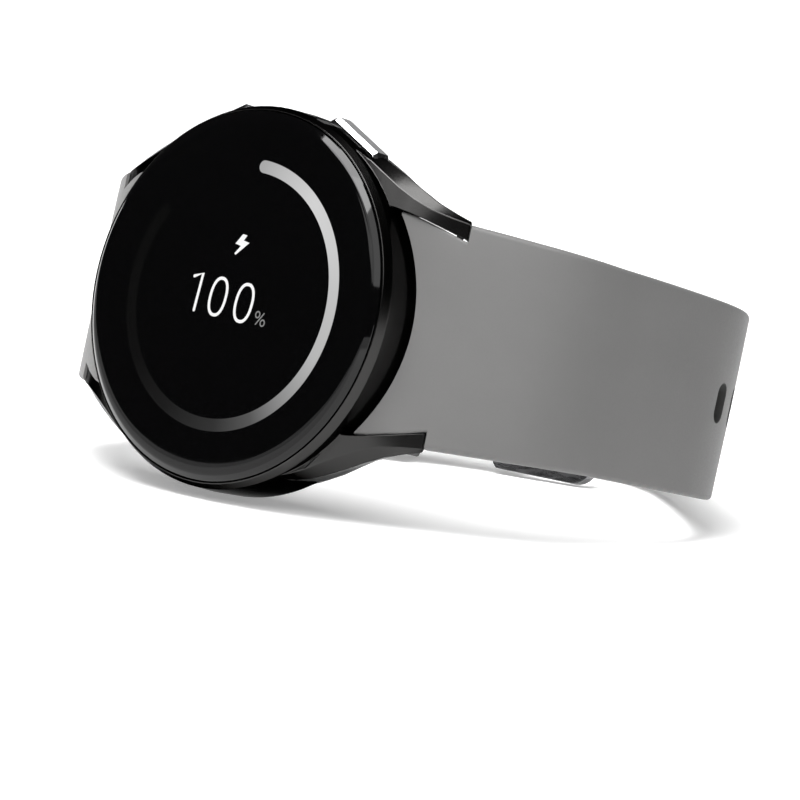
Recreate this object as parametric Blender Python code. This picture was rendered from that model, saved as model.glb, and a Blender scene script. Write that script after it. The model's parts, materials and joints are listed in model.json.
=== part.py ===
"""A 40 mm class smartwatch on a 20 mm silicone band, lying on its 9 o'clock side, band unfastened.

Everything is built in the watch's own axes and placed by one empty: +X to 3 o'clock, +Y to 12 o'clock and
+Z out of the display, with the origin at the centre of the display. The band halves leave the case at
6 o'clock (slots) and at 12 o'clock (buckle), and curl behind it. Lengths here are in millimetres.
"""

import math

import bmesh
import bpy
from mathutils import Matrix, Vector

MM = 0.001

# Case: radii and depths below the display
CASE_RADIUS = 19.65
RIM_DEPTH = 1.24
CASE_BACK_DEPTH = 8.2
POCKET_RADIUS = 19.05
CAVITY_RADIUS = 17.6
LEDGE_DEPTH = 1.35
COVER_RADIUS = 18.1
COVER_TOP_DEPTH = 7.2
CASE_SEGMENTS = 96
COVER_SEGMENTS = 64

# Lugs, on the 6 o'clock side at +X; the other three are mirror images
LUG_SECTIONS = 9
LUG_BACK_DEPTH = 8.5
LUG_TIP_SLANT = 0.93

# Glass and display
GLASS_RADIUS = 18.95
GLASS_TOP = 0.35
GLASS_BOTTOM = -0.75
PANEL_RADIUS = 17.3

# Buttons on the 3 o'clock side
BUTTON_ANGLE = 27.0
BUTTON_LENGTH = 7.4
BUTTON_HEIGHT = 2.6
BUTTON_DEPTH = 4.1
BUTTON_FACE = 20.45
BUTTON_ROOT = 18.9
BUTTON_GAP = 0.2
BUTTON_CHAMFER = 0.45
STEM_RADIUS = 0.6
STEM_END = 16.6

# Back of the watch
WINDOW_RADIUS = 12.4
WINDOW_DEPTH = 9.4
SCREW_CIRCLE = 15.9

# Spring bars: the band's hinge lines
BAR_Y = 21.6
BAR_Z = -7.2
BAR_TILT = 30.0
BAR_TUBE_RADIUS = 0.7
BAR_TUBE_HALF_LENGTH = 9.6
BAR_BORE_RADIUS = 0.46
BAR_HOLE_RADIUS = 0.78
PIN_RADIUS = 0.38
PIN_REACH = 11.15
PIN_INNER = 5.6
PIN_TRAVEL = 1.3
LEVER_X = 7.4
LEVER_REACH = 2.9
LEVER_STEM_RADIUS = 0.36
LEVER_KNOB_RADIUS = 0.65

# Band: the outer face starts over the case edge and runs in arcs of (radius, turn in degrees)
BAND_START = (17.1, -3.0)
BAND_HEADING = 22.0
BAND_FIT_RADIUS = 20.35
SHOULDER = 7.22
BAND_ARCS = ((44.0, 20.0), (13.5, 33.0), (59.5, 15.0), (16.0, 41.7))
TAIL_ARCS = ((250.0, 6.0), (32.0, 80.0))
BUCKLE_ARCS = ((30.0, 14.0), (None, 11.0), (30.0, 20.0))
BUCKLE_HALF_SWING = 6.5
END_WIDTHS = ((0.0, 22.2), (1.5, 21.66), (3.0, 20.9), (4.6, 20.06), (6.6, 18.96), (7.2, 18.76))
BAND_WIDTHS = ((SHOULDER, 22.6), (24.0, 20.9), (48.0, 19.7), (62.0, 18.6), (80.0, 17.2), (125.0, 16.4))
BAND_THICKNESS = ((0.0, 2.3), (2.6, 3.5), (4.6, 4.1), (9.0, 3.5), (18.0, 2.6), (26.0, 2.3), (125.0, 2.2))
BAND_STEP = 2.2
EDGE_BEVEL = 0.45

# Slots in the 6 o'clock half
SLOT_COUNT = 10
FIRST_SLOT = 42.4
SLOT_SPACING = 4.9
SLOT_LENGTH = 4.2
SLOT_WIDTH = 2.2

# Buckle, measured from its bar along the band's heading
BUCKLE_BAR_INSET = 2.2
BUCKLE_HALF_WIDTH = 10.6
BUCKLE_WINDOW_HALF_WIDTH = 9.45
BUCKLE_REACH = 10.6
BUCKLE_THICKNESS = 1.6
BUCKLE_FRONT_BAR = 9.0
BUCKLE_HEEL = 1.4
BUCKLE_BAR_RADIUS = 0.6
TANG_WIDTH = 3.4
TANG_REACH = 11.0
TANG_UNDER = 0.95
TANG_OVER = 1.65
TANG_SLOT_HALF_WIDTH = 2.1

# Keeper, a closed loop around the 12 o'clock half
KEEPER_AT = 63.2
KEEPER_WIDTH = 4.8
KEEPER_WALL = 1.2
KEEPER_HALF_ROOM = 9.95
KEEPER_UNDER = 2.65
KEEPER_OVER = 2.6

# How the watch lies: its axes lean back by this angle, so that case and buckle both touch the ground
REST_TILT = 10.05


def clear_scene():
    for thing in list(bpy.data.objects):
        bpy.data.objects.remove(thing, do_unlink=True)


def material(name, colour, roughness, metallic=0.0):
    made = bpy.data.materials.new(name)
    made.use_nodes = True
    shader = made.node_tree.nodes["Principled BSDF"]
    shader.inputs["Base Color"].default_value = (*colour, 1.0)
    shader.inputs["Roughness"].default_value = roughness
    shader.inputs["Metallic"].default_value = metallic
    return made


def add_object(name, mesh_maker, finish=None, sharp=30.0):
    """A mesh object from a bmesh, in millimetres, smooth-shaded apart from its sharp edges."""
    bmesh.ops.recalc_face_normals(mesh_maker, faces=mesh_maker.faces)
    bmesh.ops.scale(mesh_maker, vec=(MM, MM, MM), verts=mesh_maker.verts)
    mesh = bpy.data.meshes.new(name)
    mesh_maker.to_mesh(mesh)
    mesh_maker.free()
    mesh.shade_smooth()
    mesh.set_sharp_from_angle(angle=math.radians(sharp))
    if finish:
        mesh.materials.append(finish)
    made = bpy.data.objects.new(name, mesh)
    bpy.context.collection.objects.link(made)
    return made


def turned(name, profile, finish=None, segments=48):
    """A solid turned about +Z from a closed (radius, z) profile; a radius of 0 is a point on the axis."""
    maker = bmesh.new()
    rings = []
    for radius, z in profile:
        if radius == 0:
            rings.append([maker.verts.new((0, 0, z))])
            continue
        ring = []
        for i in range(segments):
            angle = 2 * math.pi * i / segments
            ring.append(maker.verts.new((radius * math.cos(angle), radius * math.sin(angle), z)))
        rings.append(ring)
    for ring, following in zip(rings, rings[1:] + rings[:1]):
        for i in range(segments):
            j = (i + 1) % segments
            if len(ring) == 1 and len(following) == 1:
                continue
            if len(ring) == 1:
                corners = [ring[0], following[i], following[j]]
            elif len(following) == 1:
                corners = [ring[j], ring[i], following[0]]
            else:
                corners = [ring[j], ring[i], following[i], following[j]]
            maker.faces.new(corners)
    return add_object(name, maker, finish)


def disc(name, radius, top, bottom, finish=None, inner=0.0, segments=48):
    profile = [(radius, top), (radius, bottom), (inner, bottom), (inner, top)]
    return turned(name, profile, finish, segments)


def loft(name, sections, finish=None, sharp=30.0):
    """A closed solid through sections that all have the same number of points."""
    maker = bmesh.new()
    skin(maker, sections)
    return add_object(name, maker, finish, sharp)


def skin(maker, sections):
    """Adds one closed solid through sections to a mesh that holds several."""
    rows = []
    for section in sections:
        rows.append([maker.verts.new(point) for point in section])
    count = len(rows[0])
    for row, following in zip(rows, rows[1:]):
        for i in range(count):
            j = (i + 1) % count
            maker.faces.new([row[i], row[j], following[j], following[i]])
    maker.faces.new(rows[0])
    maker.faces.new(rows[-1])


def slab(name, outline, top, bottom, finish=None):
    """A flat outline in X and Y, given thickness along Z."""
    low = [(x, y, bottom) for x, y in outline]
    high = [(x, y, top) for x, y in outline]
    return loft(name, [low, high], finish)


def rounded_outline(half_x, half_y, radius, centre=(0.0, 0.0), steps=4):
    points = []
    for quarter in range(4):
        side_x = (1, -1, -1, 1)[quarter]
        side_y = (1, 1, -1, -1)[quarter]
        for i in range(steps + 1):
            angle = math.radians(90 * quarter + 90 * i / steps)
            x = centre[0] + side_x * (half_x - radius) + radius * math.cos(angle)
            y = centre[1] + side_y * (half_y - radius) + radius * math.sin(angle)
            points.append((x, y))
    return points


def round_section(radius, x, y, segments=16):
    points = []
    for i in range(segments):
        angle = 2 * math.pi * i / segments
        points.append((x + radius * math.cos(angle), y + radius * math.sin(angle)))
    return points


def rod_x(name, radius, start, end, y, z, finish=None, segments=20):
    """A round rod along X."""
    sections = []
    for x in (start, end):
        ring = []
        for i in range(segments):
            angle = 2 * math.pi * i / segments
            ring.append((x, y + radius * math.cos(angle), z + radius * math.sin(angle)))
        sections.append(ring)
    return loft(name, sections, finish)


def ring_x(name, inner, outer, start, end, finish=None, segments=24):
    """A round tube along X."""
    made = disc(name, outer, end, start, finish, inner, segments)
    made.matrix_basis = Matrix.Rotation(math.radians(90), 4, "Y")
    return made


def set_origin(made, place):
    """Moves an object's origin to a place, in millimetres, and leaves its shape where it is."""
    pivot = Vector(place) * MM
    made.data.transform(Matrix.Translation(-pivot))
    made.location = pivot


def tool(made):
    """A cutting or joining shape: it isn't a piece of the watch."""
    made.hide_render = True
    made.display_type = "WIRE"
    return made


def combine(made, other, operation="DIFFERENCE"):
    step = made.modifiers.new(other.name, "BOOLEAN")
    step.operation = operation
    step.solver = "EXACT"
    step.object = tool(other)


def between(stops, at):
    """The value at a place, straight between the (place, value) stops."""
    for (start, first), (end, last) in zip(stops, stops[1:]):
        if at <= end:
            return first + (last - first) * max(0.0, (at - start) / (end - start))
    return stops[-1][1]


def smooth_between(points, share):
    """A point on a smooth curve through the given points, for a share of 0 to 1 of the way."""
    spans = len(points) - 1
    index = min(int(share * spans), spans - 1)
    t = share * spans - index
    before = Vector(points[max(index - 1, 0)])
    start = Vector(points[index])
    end = Vector(points[index + 1])
    after = Vector(points[min(index + 2, spans)])
    return 0.5 * (
        2 * start
        + (end - before) * t
        + (2 * before - 5 * start + 4 * end - after) * t**2
        + (3 * start - before - 3 * end + after) * t**3
    )


# ---------------------------------------------------------------- case


def lug_sections():
    """Sections of one lug from inside the case to its tip: inner edge, crease, widest line, flank and back."""
    inner = [(11.6, 9.6, -1.3), (11.6, 13.0, -1.7), (11.5, 16.6, -2.5), (10.8, 19.8, -3.9), (9.7, 23.2, -6.4)]
    crease = [(17.0, 9.6, -1.3), (15.7, 12.6, -2.0), (13.6, 16.2, -2.7), (12.0, 19.8, -4.0), (11.35, 23.2, -6.45)]
    outer = [(17.1, 9.6, -3.2), (16.4, 12.6, -3.6), (14.8, 16.2, -4.1), (12.9, 19.8, -5.0), (11.65, 23.2, -6.85)]
    lower = [(17.0, 9.6, -7.1), (15.7, 12.6, -7.1), (13.7, 16.2, -7.1), (12.4, 19.8, -7.1), (11.6, 23.2, -7.1)]
    sections = []
    for i in range(LUG_SECTIONS):
        share = i / (LUG_SECTIONS - 1)
        wall, edge, widest, flank = (smooth_between(line, share) for line in (inner, crease, outer, lower))
        near_tip = max(0.0, 4 * share - 3)
        back = 0.5 * near_tip - LUG_BACK_DEPTH
        sections.append([
            (wall.x, wall.y, wall.z),
            (edge.x, edge.y, edge.z),
            (widest.x, widest.y - 0.25 * near_tip, widest.z),
            (flank.x, flank.y - 0.4 * near_tip, flank.z),
            (flank.x - 0.4, flank.y - LUG_TIP_SLANT * near_tip, back),
            (wall.x - 0.12, wall.y - LUG_TIP_SLANT * near_tip, back),
        ])
    return sections


def lug_shapes():
    """All four lugs, as one joining shape."""
    maker = bmesh.new()
    for side_x in (1, -1):
        for side_y in (1, -1):
            sections = []
            for section in lug_sections():
                sections.append([(side_x * x, side_y * y, z) for x, y, z in section])
            skin(maker, sections)
    return add_object("lug_shapes", maker)


def button_axes(side):
    """Axes of a button: X outwards along its press direction and Y along its length."""
    return Matrix.Rotation(math.radians(side * BUTTON_ANGLE), 4, "Z")


def button_bar(name, root, reach, grow=0.0, finish=None):
    """A bar with chamfered edges and ends, its length along Y."""
    length = BUTTON_LENGTH + 2 * grow
    half_height = BUTTON_HEIGHT / 2 + grow
    chamfer = BUTTON_CHAMFER - grow
    sections = []
    inset = 0.5 - chamfer / length
    for at, pull in ((-0.5, chamfer), (-inset, 0.0), (inset, 0.0), (0.5, chamfer)):
        face = reach - pull
        outline = [
            (root, half_height),
            (face - chamfer, half_height),
            (face, half_height - chamfer),
            (face, chamfer - half_height),
            (face - chamfer, -half_height),
            (root, -half_height),
        ]
        sections.append([(x, at * length, z - BUTTON_DEPTH) for x, z in outline])
    return loft(name, sections, finish)


def case_frame(finish):
    outside = [
        (0, -0.42),
        (POCKET_RADIUS, -0.42),
        (19.2, -0.36),
        (CASE_RADIUS, -RIM_DEPTH),
        (CASE_RADIUS + 0.1, -4.0),
        (CASE_RADIUS, -7.1),
        (18.9, -CASE_BACK_DEPTH),
        (0, -CASE_BACK_DEPTH),
    ]
    cavity = [
        (0, 1.0),
        (POCKET_RADIUS, 1.0),
        (POCKET_RADIUS, -LEDGE_DEPTH),
        (CAVITY_RADIUS, -LEDGE_DEPTH),
        (CAVITY_RADIUS, -COVER_TOP_DEPTH),
        (COVER_RADIUS, -COVER_TOP_DEPTH),
        (COVER_RADIUS, -CASE_BACK_DEPTH - 1.0),
        (0, -CASE_BACK_DEPTH - 1.0),
    ]
    case = turned("case_frame", outside, finish, CASE_SEGMENTS)
    combine(case, lug_shapes(), "UNION")
    combine(case, turned("case_cavity", cavity, segments=CASE_SEGMENTS))
    for side, label in ((1, "home"), (-1, "back")):
        recess = button_bar(f"{label}_recess", BUTTON_ROOT - 0.5, BUTTON_FACE + 2.0, BUTTON_GAP)
        recess.matrix_basis = button_axes(side)
        combine(case, recess)
        stem_hole = rod_x(f"{label}_stem_hole", STEM_RADIUS + 0.1, 15.0, 19.5, 0, -BUTTON_DEPTH)
        stem_hole.matrix_basis = button_axes(side)
        combine(case, stem_hole)
    for side in (1, -1):
        hole = rod_x(f"lug_holes_{side + 1}", 0.5, -11.25, 11.25, side * BAR_Y, BAR_Z)
        combine(case, hole)
    return case


def buttons(metal, rubber, dark):
    """The two push buttons with their seals and the dome switches behind them."""
    for side, label in ((1, "home"), (-1, "back")):
        button = button_bar(f"{label}_button", BUTTON_ROOT, BUTTON_FACE, 0.0, metal)
        stem = rod_x(f"{label}_stem", STEM_RADIUS, STEM_END, BUTTON_ROOT + 0.6, 0, -BUTTON_DEPTH)
        seal = ring_x(f"{label}_button_seal", STEM_RADIUS + 0.06, 1.25, 16.95, 17.35, rubber)
        switch = slab(f"{label}_switch", rounded_outline(0.45, 1.4, 0.3, (15.8, 0)), 1.2, -1.2, metal)
        board = slab(f"{label}_switch_board", rounded_outline(0.2, 2.1, 0.15, (15.05, 0)), 1.5, -1.5, dark)
        for piece in (switch, board, seal):
            piece.location.z = -BUTTON_DEPTH * MM
        for piece in (button, stem, seal, switch, board):
            piece.matrix_basis = button_axes(side) @ piece.matrix_basis
        combine(button, stem, "UNION")


# ---------------------------------------------------------------- inside and back


def front_glass(finish):
    profile = [
        (0, GLASS_TOP),
        (15.5, GLASS_TOP),
        (17.4, GLASS_TOP - 0.06),
        (18.4, GLASS_TOP - 0.27),
        (18.83, GLASS_TOP - 0.55),
        (GLASS_RADIUS, -0.45),
        (GLASS_RADIUS, GLASS_BOTTOM),
        (0, GLASS_BOTTOM),
    ]
    return turned("front_glass", profile, finish, CASE_SEGMENTS)


def inner_chassis(finish):
    """A plate behind the display with four posts that take the back screws."""
    chassis = disc("inner_chassis", PANEL_RADIUS, -1.8, -2.3, finish)
    posts = bmesh.new()
    for x, y in screw_places():
        ring = round_section(1.2, x, y)
        skin(posts, [[(px, py, -2.0) for px, py in ring], [(px, py, -7.1) for px, py in ring]])
    combine(chassis, add_object("chassis_posts", posts), "UNION")
    combine(chassis, screw_shafts("post_holes", 0.56, -4.6, -8.0))
    return chassis


def screw_places():
    places = []
    for quarter in range(4):
        angle = math.radians(45 + 90 * quarter)
        places.append((SCREW_CIRCLE * math.cos(angle), SCREW_CIRCLE * math.sin(angle)))
    return places


def screw_shafts(name, radius, top, bottom):
    maker = bmesh.new()
    for x, y in screw_places():
        ring = round_section(radius, x, y)
        skin(maker, [[(px, py, bottom) for px, py in ring], [(px, py, top) for px, py in ring]])
    return add_object(name, maker)


def main_board(finish):
    board = disc("main_board", 16.7, -3.3, -3.9, finish)
    combine(board, screw_shafts("board_notches", 1.5, -2.6, -4.4))
    for side in (1, -1):
        room = slab(f"switch_room_{side + 1}", rounded_outline(2.0, 2.5, 0.4, (16.4, 0)), -2.6, -4.4)
        room.matrix_basis = button_axes(side)
        combine(board, room)
    return board


def electronics(dark, green, metal, foil):
    disc("display_panel", PANEL_RADIUS, -0.85, -1.5, dark)
    slab("display_flex", rounded_outline(3.0, 2.5, 0.4, (0, 11.0)), -1.58, -1.72, dark)
    main_board(green)
    slab("processor_shield", rounded_outline(5.0, 6.0, 0.6, (-5.5, 2.0)), -2.45, -3.2, metal)
    slab("power_shield", rounded_outline(3.6, 4.0, 0.6, (6.5, -4.0)), -2.45, -3.2, metal)
    slab("battery", rounded_outline(8.5, 11.8, 1.2), -4.15, -6.9, foil)
    slab("speaker", rounded_outline(4.4, 1.6, 0.5, (0, -14.2)), -4.2, -6.6, dark)
    slab("microphone", rounded_outline(1.6, 1.1, 0.3, (0, 14.2)), -4.0, -5.0, metal)
    motor = disc("vibration_motor", 3.5, -4.15, -6.4, metal, segments=32)
    motor.location.x = -12.9 * MM


def back_cover(finish):
    profile = [(17.7, -7.55), (17.95, -7.8), (17.95, -8.35), (17.7, -8.55), (12.7, -8.55), (12.7, -7.55)]
    cover = turned("back_cover", profile, finish, COVER_SEGMENTS)
    combine(cover, screw_shafts("cover_screw_holes", 0.62, -7.0, -8.3))
    combine(cover, screw_shafts("cover_screw_heads", 1.0, -8.05, -9.0))
    return cover


def back_screws(finish):
    shank = [(0, -4.9), (0.5, -4.9), (0.5, -8.15)]
    profile = shank + [(0.9, -8.15), (0.9, -8.5), (0.35, -8.5), (0.35, -8.3), (0, -8.3)]
    for i, (x, y) in enumerate(screw_places()):
        screw = turned(f"back_screw_{i + 1}", profile, finish, 16)
        screw.location.x = x * MM
        screw.location.y = y * MM


def electrode(name, start, finish):
    """A flat arc of metal on the back cover, drawn outwards and back again."""
    sections = []
    for i in range(19):
        angle = math.radians(start + 140 * i / 18)
        along = Vector((math.cos(angle), math.sin(angle), 0))
        sections.append([
            along * 13.4 + Vector((0, 0, -8.6)),
            along * 14.6 + Vector((0, 0, -8.6)),
            along * 14.6 + Vector((0, 0, -8.8)),
            along * 13.4 + Vector((0, 0, -8.8)),
        ])
    return loft(name, sections, finish)


def sensor_window(finish):
    outer = [(0, -WINDOW_DEPTH), (5.0, -9.3), (9.0, -9.02), (11.3, -8.7), (WINDOW_RADIUS, -8.4)]
    inner = [(WINDOW_RADIUS, -7.75), (11.4, -7.75), (10.6, -8.15), (6.0, -8.55), (0, -8.65)]
    return turned("sensor_window", list(reversed(outer + inner)), finish)


def back_sensors(glass, dark, copper, metal):
    sensor_window(glass)
    disc("ferrite_sheet", 11.8, -7.02, -7.16, dark)
    disc("charging_coil", 11.6, -7.26, -7.5, copper, inner=7.4)
    disc("sensor_board", 6.4, -7.7, -8.0, dark, segments=32)
    disc("led_cluster", 1.3, -8.06, -8.4, metal, segments=16)
    for quarter in range(4):
        angle = math.radians(90 * quarter)
        diode = disc(f"photodiode_{quarter + 1}", 0.9, -8.06, -8.35, metal, segments=16)
        diode.location.x = 3.9 * math.cos(angle) * MM
        diode.location.y = 3.9 * math.sin(angle) * MM
    electrode("electrode_upper", 20, metal)
    electrode("electrode_lower", 200, metal)


# ---------------------------------------------------------------- band


def along_path(arcs, at):
    """The outer face at a length along it: distance out from the case, height, and heading in radians.

    The heading is 0 straight out and 90 degrees straight back. An arc of radius None is a straight run.
    """
    out, height = BAND_START
    heading = math.radians(BAND_HEADING)
    for radius, amount in arcs:
        length = amount if radius is None else radius * math.radians(amount)
        here = min(at, length)
        if radius is None:
            out += here * math.cos(heading)
            height -= here * math.sin(heading)
        else:
            after = heading + here / radius
            out += radius * (math.sin(after) - math.sin(heading))
            height -= radius * (math.cos(heading) - math.cos(after))
            heading = after
        at -= here
        if at <= 0:
            break
    return out, height, heading


def path_length(arcs):
    return sum(amount if radius is None else radius * math.radians(amount) for radius, amount in arcs)


def path_axes(arcs, at, side, below=0.0):
    """Axes on the band: X across it, Y along its heading for the 12 o'clock half, Z out of its face."""
    out, height, heading = along_path(arcs, at)
    along = Vector((0, side * math.cos(heading), -math.sin(heading)))
    normal = Vector((0, side * math.sin(heading), math.cos(heading)))
    place = (Vector((0, side * out, height)) - normal * below) * MM
    across = along.cross(normal)
    axes = Matrix((across, along, normal)).transposed().to_4x4()
    return Matrix.Translation(place) @ axes


def band_section(arcs, at, side, width, thickness):
    out, height, heading = along_path(arcs, at)
    half = width / 2
    edge = min(EDGE_BEVEL, thickness / 3)
    outline = [
        (edge - half, 0.0),
        (half - edge, 0.0),
        (half, edge),
        (half, thickness - edge),
        (half - edge, thickness),
        (edge - half, thickness),
        (-half, thickness - edge),
        (-half, edge),
    ]
    section = []
    for x, depth in outline:
        y = side * (out - depth * math.sin(heading))
        section.append((x, y, height - depth * math.cos(heading)))
    return section


def band_body(name, arcs, side, tip, finish):
    """A band half, lofted from over the case edge, past the shoulder at the lug tips, to a rounded end."""
    length = path_length(arcs)
    sections = []
    for at in (0.0, 1.5, 3.0, 4.6, 6.6, SHOULDER - 0.02):
        sections.append(band_section(arcs, at, side, between(END_WIDTHS, at), between(BAND_THICKNESS, at)))
    plain = int((length - tip - SHOULDER) / BAND_STEP)
    for i in range(plain + 1):
        at = SHOULDER + (length - tip - SHOULDER) * i / plain
        sections.append(band_section(arcs, at, side, between(BAND_WIDTHS, at), between(BAND_THICKNESS, at)))
    full = between(BAND_WIDTHS, length - tip)
    for angle in (25, 45, 62, 76):
        at = length - tip + tip * math.sin(math.radians(angle))
        width = full * math.cos(math.radians(angle)) ** 0.6
        sections.append(band_section(arcs, at, side, width, between(BAND_THICKNESS, at)))
    band = loft(name, sections, finish)
    combine(band, turned(f"{name}_fit", fit_profile(), segments=CASE_SEGMENTS))
    combine(band, rod_x(f"{name}_bar_hole", BAR_HOLE_RADIUS, -12, 12, side * BAR_Y, BAR_Z))
    lever_room = rounded_outline(1.6, 0.85, 0.2, (LEVER_X - PIN_TRAVEL / 2, 0))
    notch = slab(f"{name}_lever_notch", lever_room, 0.0, -4.0)
    notch.matrix_basis = bar_axes(side)
    combine(band, notch)
    return band


def fit_profile():
    return [(BAND_FIT_RADIUS, 0), (BAND_FIT_RADIUS, -12), (0, -12), (0, 0)]


def bar_axes(side):
    """Axes at a spring bar: X along it and Z out of the band's face."""
    turn = Matrix.Rotation(math.radians(-side * BAR_TILT), 4, "X")
    return Matrix.Translation(Vector((0, side * BAR_Y, BAR_Z)) * MM) @ turn


def spring_bar(label, side, metal):
    """A quick-release spring bar: a tube, a pin that stays, and a pin that a lever draws in."""
    half_length = BAR_TUBE_HALF_LENGTH
    tube = ring_x(f"{label}_bar_tube", BAR_BORE_RADIUS, BAR_TUBE_RADIUS, -half_length, half_length, metal)
    lever_room = rounded_outline(1.35, 0.43, 0.2, (LEVER_X - PIN_TRAVEL / 2, 0))
    opening = slab(f"{label}_tube_slot", lever_room, 0.0, -2.0)
    combine(tube, opening)
    fixed = rod_x(f"{label}_fixed_pin", PIN_RADIUS, -PIN_REACH, -PIN_INNER, 0, 0, metal)
    lever = rod_x(f"{label}_release_lever", PIN_RADIUS, PIN_INNER, PIN_REACH, 0, 0, metal)
    stem = disc(f"{label}_lever_stem", LEVER_STEM_RADIUS, 0.0, -LEVER_REACH + 0.3, segments=16)
    knob = disc(f"{label}_lever_knob", LEVER_KNOB_RADIUS, -LEVER_REACH + 0.7, -LEVER_REACH, segments=20)
    stem.location.x = LEVER_X * MM
    knob.location.x = LEVER_X * MM
    for piece in (tube, opening, fixed, lever, stem, knob):
        piece.matrix_basis = bar_axes(side) @ piece.matrix_basis
    combine(lever, stem, "UNION")
    combine(lever, knob, "UNION")


def slot_band(rubber):
    """The 6 o'clock half, with a row of slots."""
    arcs = BAND_ARCS + TAIL_ARCS
    band = band_body("slot_band", arcs, -1, 6.0, rubber)
    maker = bmesh.new()
    radius = SLOT_WIDTH / 2
    outline = rounded_outline(SLOT_LENGTH / 2, radius, radius - 0.01)
    for i in range(SLOT_COUNT):
        axes = path_axes(arcs, FIRST_SLOT + SLOT_SPACING * i, -1)
        rows = []
        for depth in (-5.0, 2.0):
            rows.append([(axes @ (Vector((x, y, depth)) * MM)) / MM for x, y in outline])
        skin(maker, rows)
    combine(band, add_object("slot_cutters", maker))
    set_origin(band, (0, -BAR_Y, BAR_Z))
    return band


def buckle_axes():
    arcs = BAND_ARCS + BUCKLE_ARCS
    at = path_length(arcs) - BUCKLE_BAR_INSET
    return path_axes(arcs, at, 1, between(BAND_THICKNESS, at) / 2)


def buckle_band(rubber):
    """The 12 o'clock half, which holds the buckle's bar and is slotted for the tang."""
    arcs = BAND_ARCS + BUCKLE_ARCS
    band = band_body("buckle_band", arcs, 1, 1.6, rubber)
    hole = rod_x("buckle_bar_hole", BUCKLE_BAR_RADIUS + 0.12, -12, 12, 0, 0)
    room = slab("tang_room", rounded_outline(TANG_SLOT_HALF_WIDTH, 3.0, 0.3, (0, 1.05)), 3.0, -3.0)
    for cutter in (hole, room):
        cutter.matrix_basis = buckle_axes() @ cutter.matrix_basis
        combine(band, cutter)
    set_origin(band, (0, BAR_Y, BAR_Z))
    return band


def buckle(metal):
    """A pin buckle: frame, bar and a flat tang that rests on the frame's front bar."""
    half = BUCKLE_THICKNESS / 2
    frame = slab("buckle_frame", buckle_outline(), half, -half, metal)
    holes = rod_x("buckle_frame_holes", BUCKLE_BAR_RADIUS + 0.08, -12, 12, 0, 0)
    bar_end = BUCKLE_HALF_WIDTH - 0.3
    bar = rod_x("buckle_bar", BUCKLE_BAR_RADIUS, -bar_end, bar_end, 0, 0, metal)
    tang = loft("buckle_tang", tang_sections(), metal)
    tang_hole = rod_x("tang_hole", BUCKLE_BAR_RADIUS + 0.08, -3, 3, 0, 0)
    for piece in (frame, holes, bar, tang, tang_hole):
        piece.matrix_basis = buckle_axes() @ piece.matrix_basis
    combine(frame, holes)
    combine(tang, tang_hole)


def buckle_outline():
    """A U: two arms with rounded heels behind the bar, joined by the front bar."""
    wide = BUCKLE_HALF_WIDTH
    narrow = BUCKLE_WINDOW_HALF_WIDTH
    corner = 2.2
    outline = [(wide, -BUCKLE_HEEL + 0.5), (wide, BUCKLE_REACH - corner)]
    for i in range(1, 6):
        angle = math.radians(90 * i / 6)
        x = wide - corner + corner * math.cos(angle)
        outline.append((x, BUCKLE_REACH - corner + corner * math.sin(angle)))
    outline.append((wide - corner, BUCKLE_REACH))
    half = outline + [(0, BUCKLE_REACH)]
    inside = [(0, BUCKLE_FRONT_BAR), (narrow - 0.9, BUCKLE_FRONT_BAR), (narrow, BUCKLE_FRONT_BAR - 0.9)]
    inside += [(narrow, -BUCKLE_HEEL), (wide - 0.5, -BUCKLE_HEEL)]
    mirrored_outside = [(-x, y) for x, y in reversed(outline)]
    mirrored_inside = [(-x, y) for x, y in reversed(inside[1:])]
    return half + mirrored_outside + mirrored_inside + inside


def tang_sections():
    """The tang's side view, around the bar and out over the frame, at both of its sides."""
    middle = (TANG_UNDER + TANG_OVER) / 2
    outline = [(TANG_REACH, TANG_UNDER), (TANG_REACH + 0.25, middle), (TANG_REACH, TANG_OVER)]
    for i in range(13):
        angle = math.radians(90 + 240 * i / 12)
        outline.append((TANG_OVER * math.cos(angle), TANG_OVER * math.sin(angle)))
    outline.append((2.0, TANG_UNDER))
    half = TANG_WIDTH / 2
    return [[(-half, y, z) for y, z in outline], [(half, y, z) for y, z in outline]]


def keeper(rubber):
    """A loop around the 12 o'clock half with room for the tail on its outer side."""
    wide = KEEPER_HALF_ROOM + KEEPER_WALL
    half = KEEPER_WIDTH / 2
    tall = (KEEPER_UNDER + KEEPER_OVER) / 2
    middle = (KEEPER_OVER - KEEPER_UNDER) / 2
    outside = rounded_outline(wide, tall + KEEPER_WALL, 1.6, (0, middle))
    inside = rounded_outline(KEEPER_HALF_ROOM, tall, 0.6, (0, middle))
    loop = loft("keeper", [[(x, y, z) for x, z in outside] for y in (-half, half)], rubber)
    hole = loft("keeper_hole", [[(x, y, z) for x, z in inside] for y in (-half - 1, half + 1)])
    for piece in (loop, hole):
        piece.matrix_basis = path_axes(BAND_ARCS + BUCKLE_ARCS, KEEPER_AT, 1) @ piece.matrix_basis
    combine(loop, hole)


# ---------------------------------------------------------------- the whole watch


def swing_buckle_half():
    """Turns the 12 o'clock half inwards about its spring bar, as it hangs when the band is undone."""
    pivot = Matrix.Translation(Vector((0, BAR_Y, BAR_Z)) * MM)
    swing = pivot @ Matrix.Rotation(math.radians(-BUCKLE_HALF_SWING), 4, "X") @ pivot.inverted()
    for piece in bpy.data.objects:
        if piece.name.startswith(("buckle_", "tang_", "keeper")):
            piece.matrix_basis = swing @ piece.matrix_basis


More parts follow.
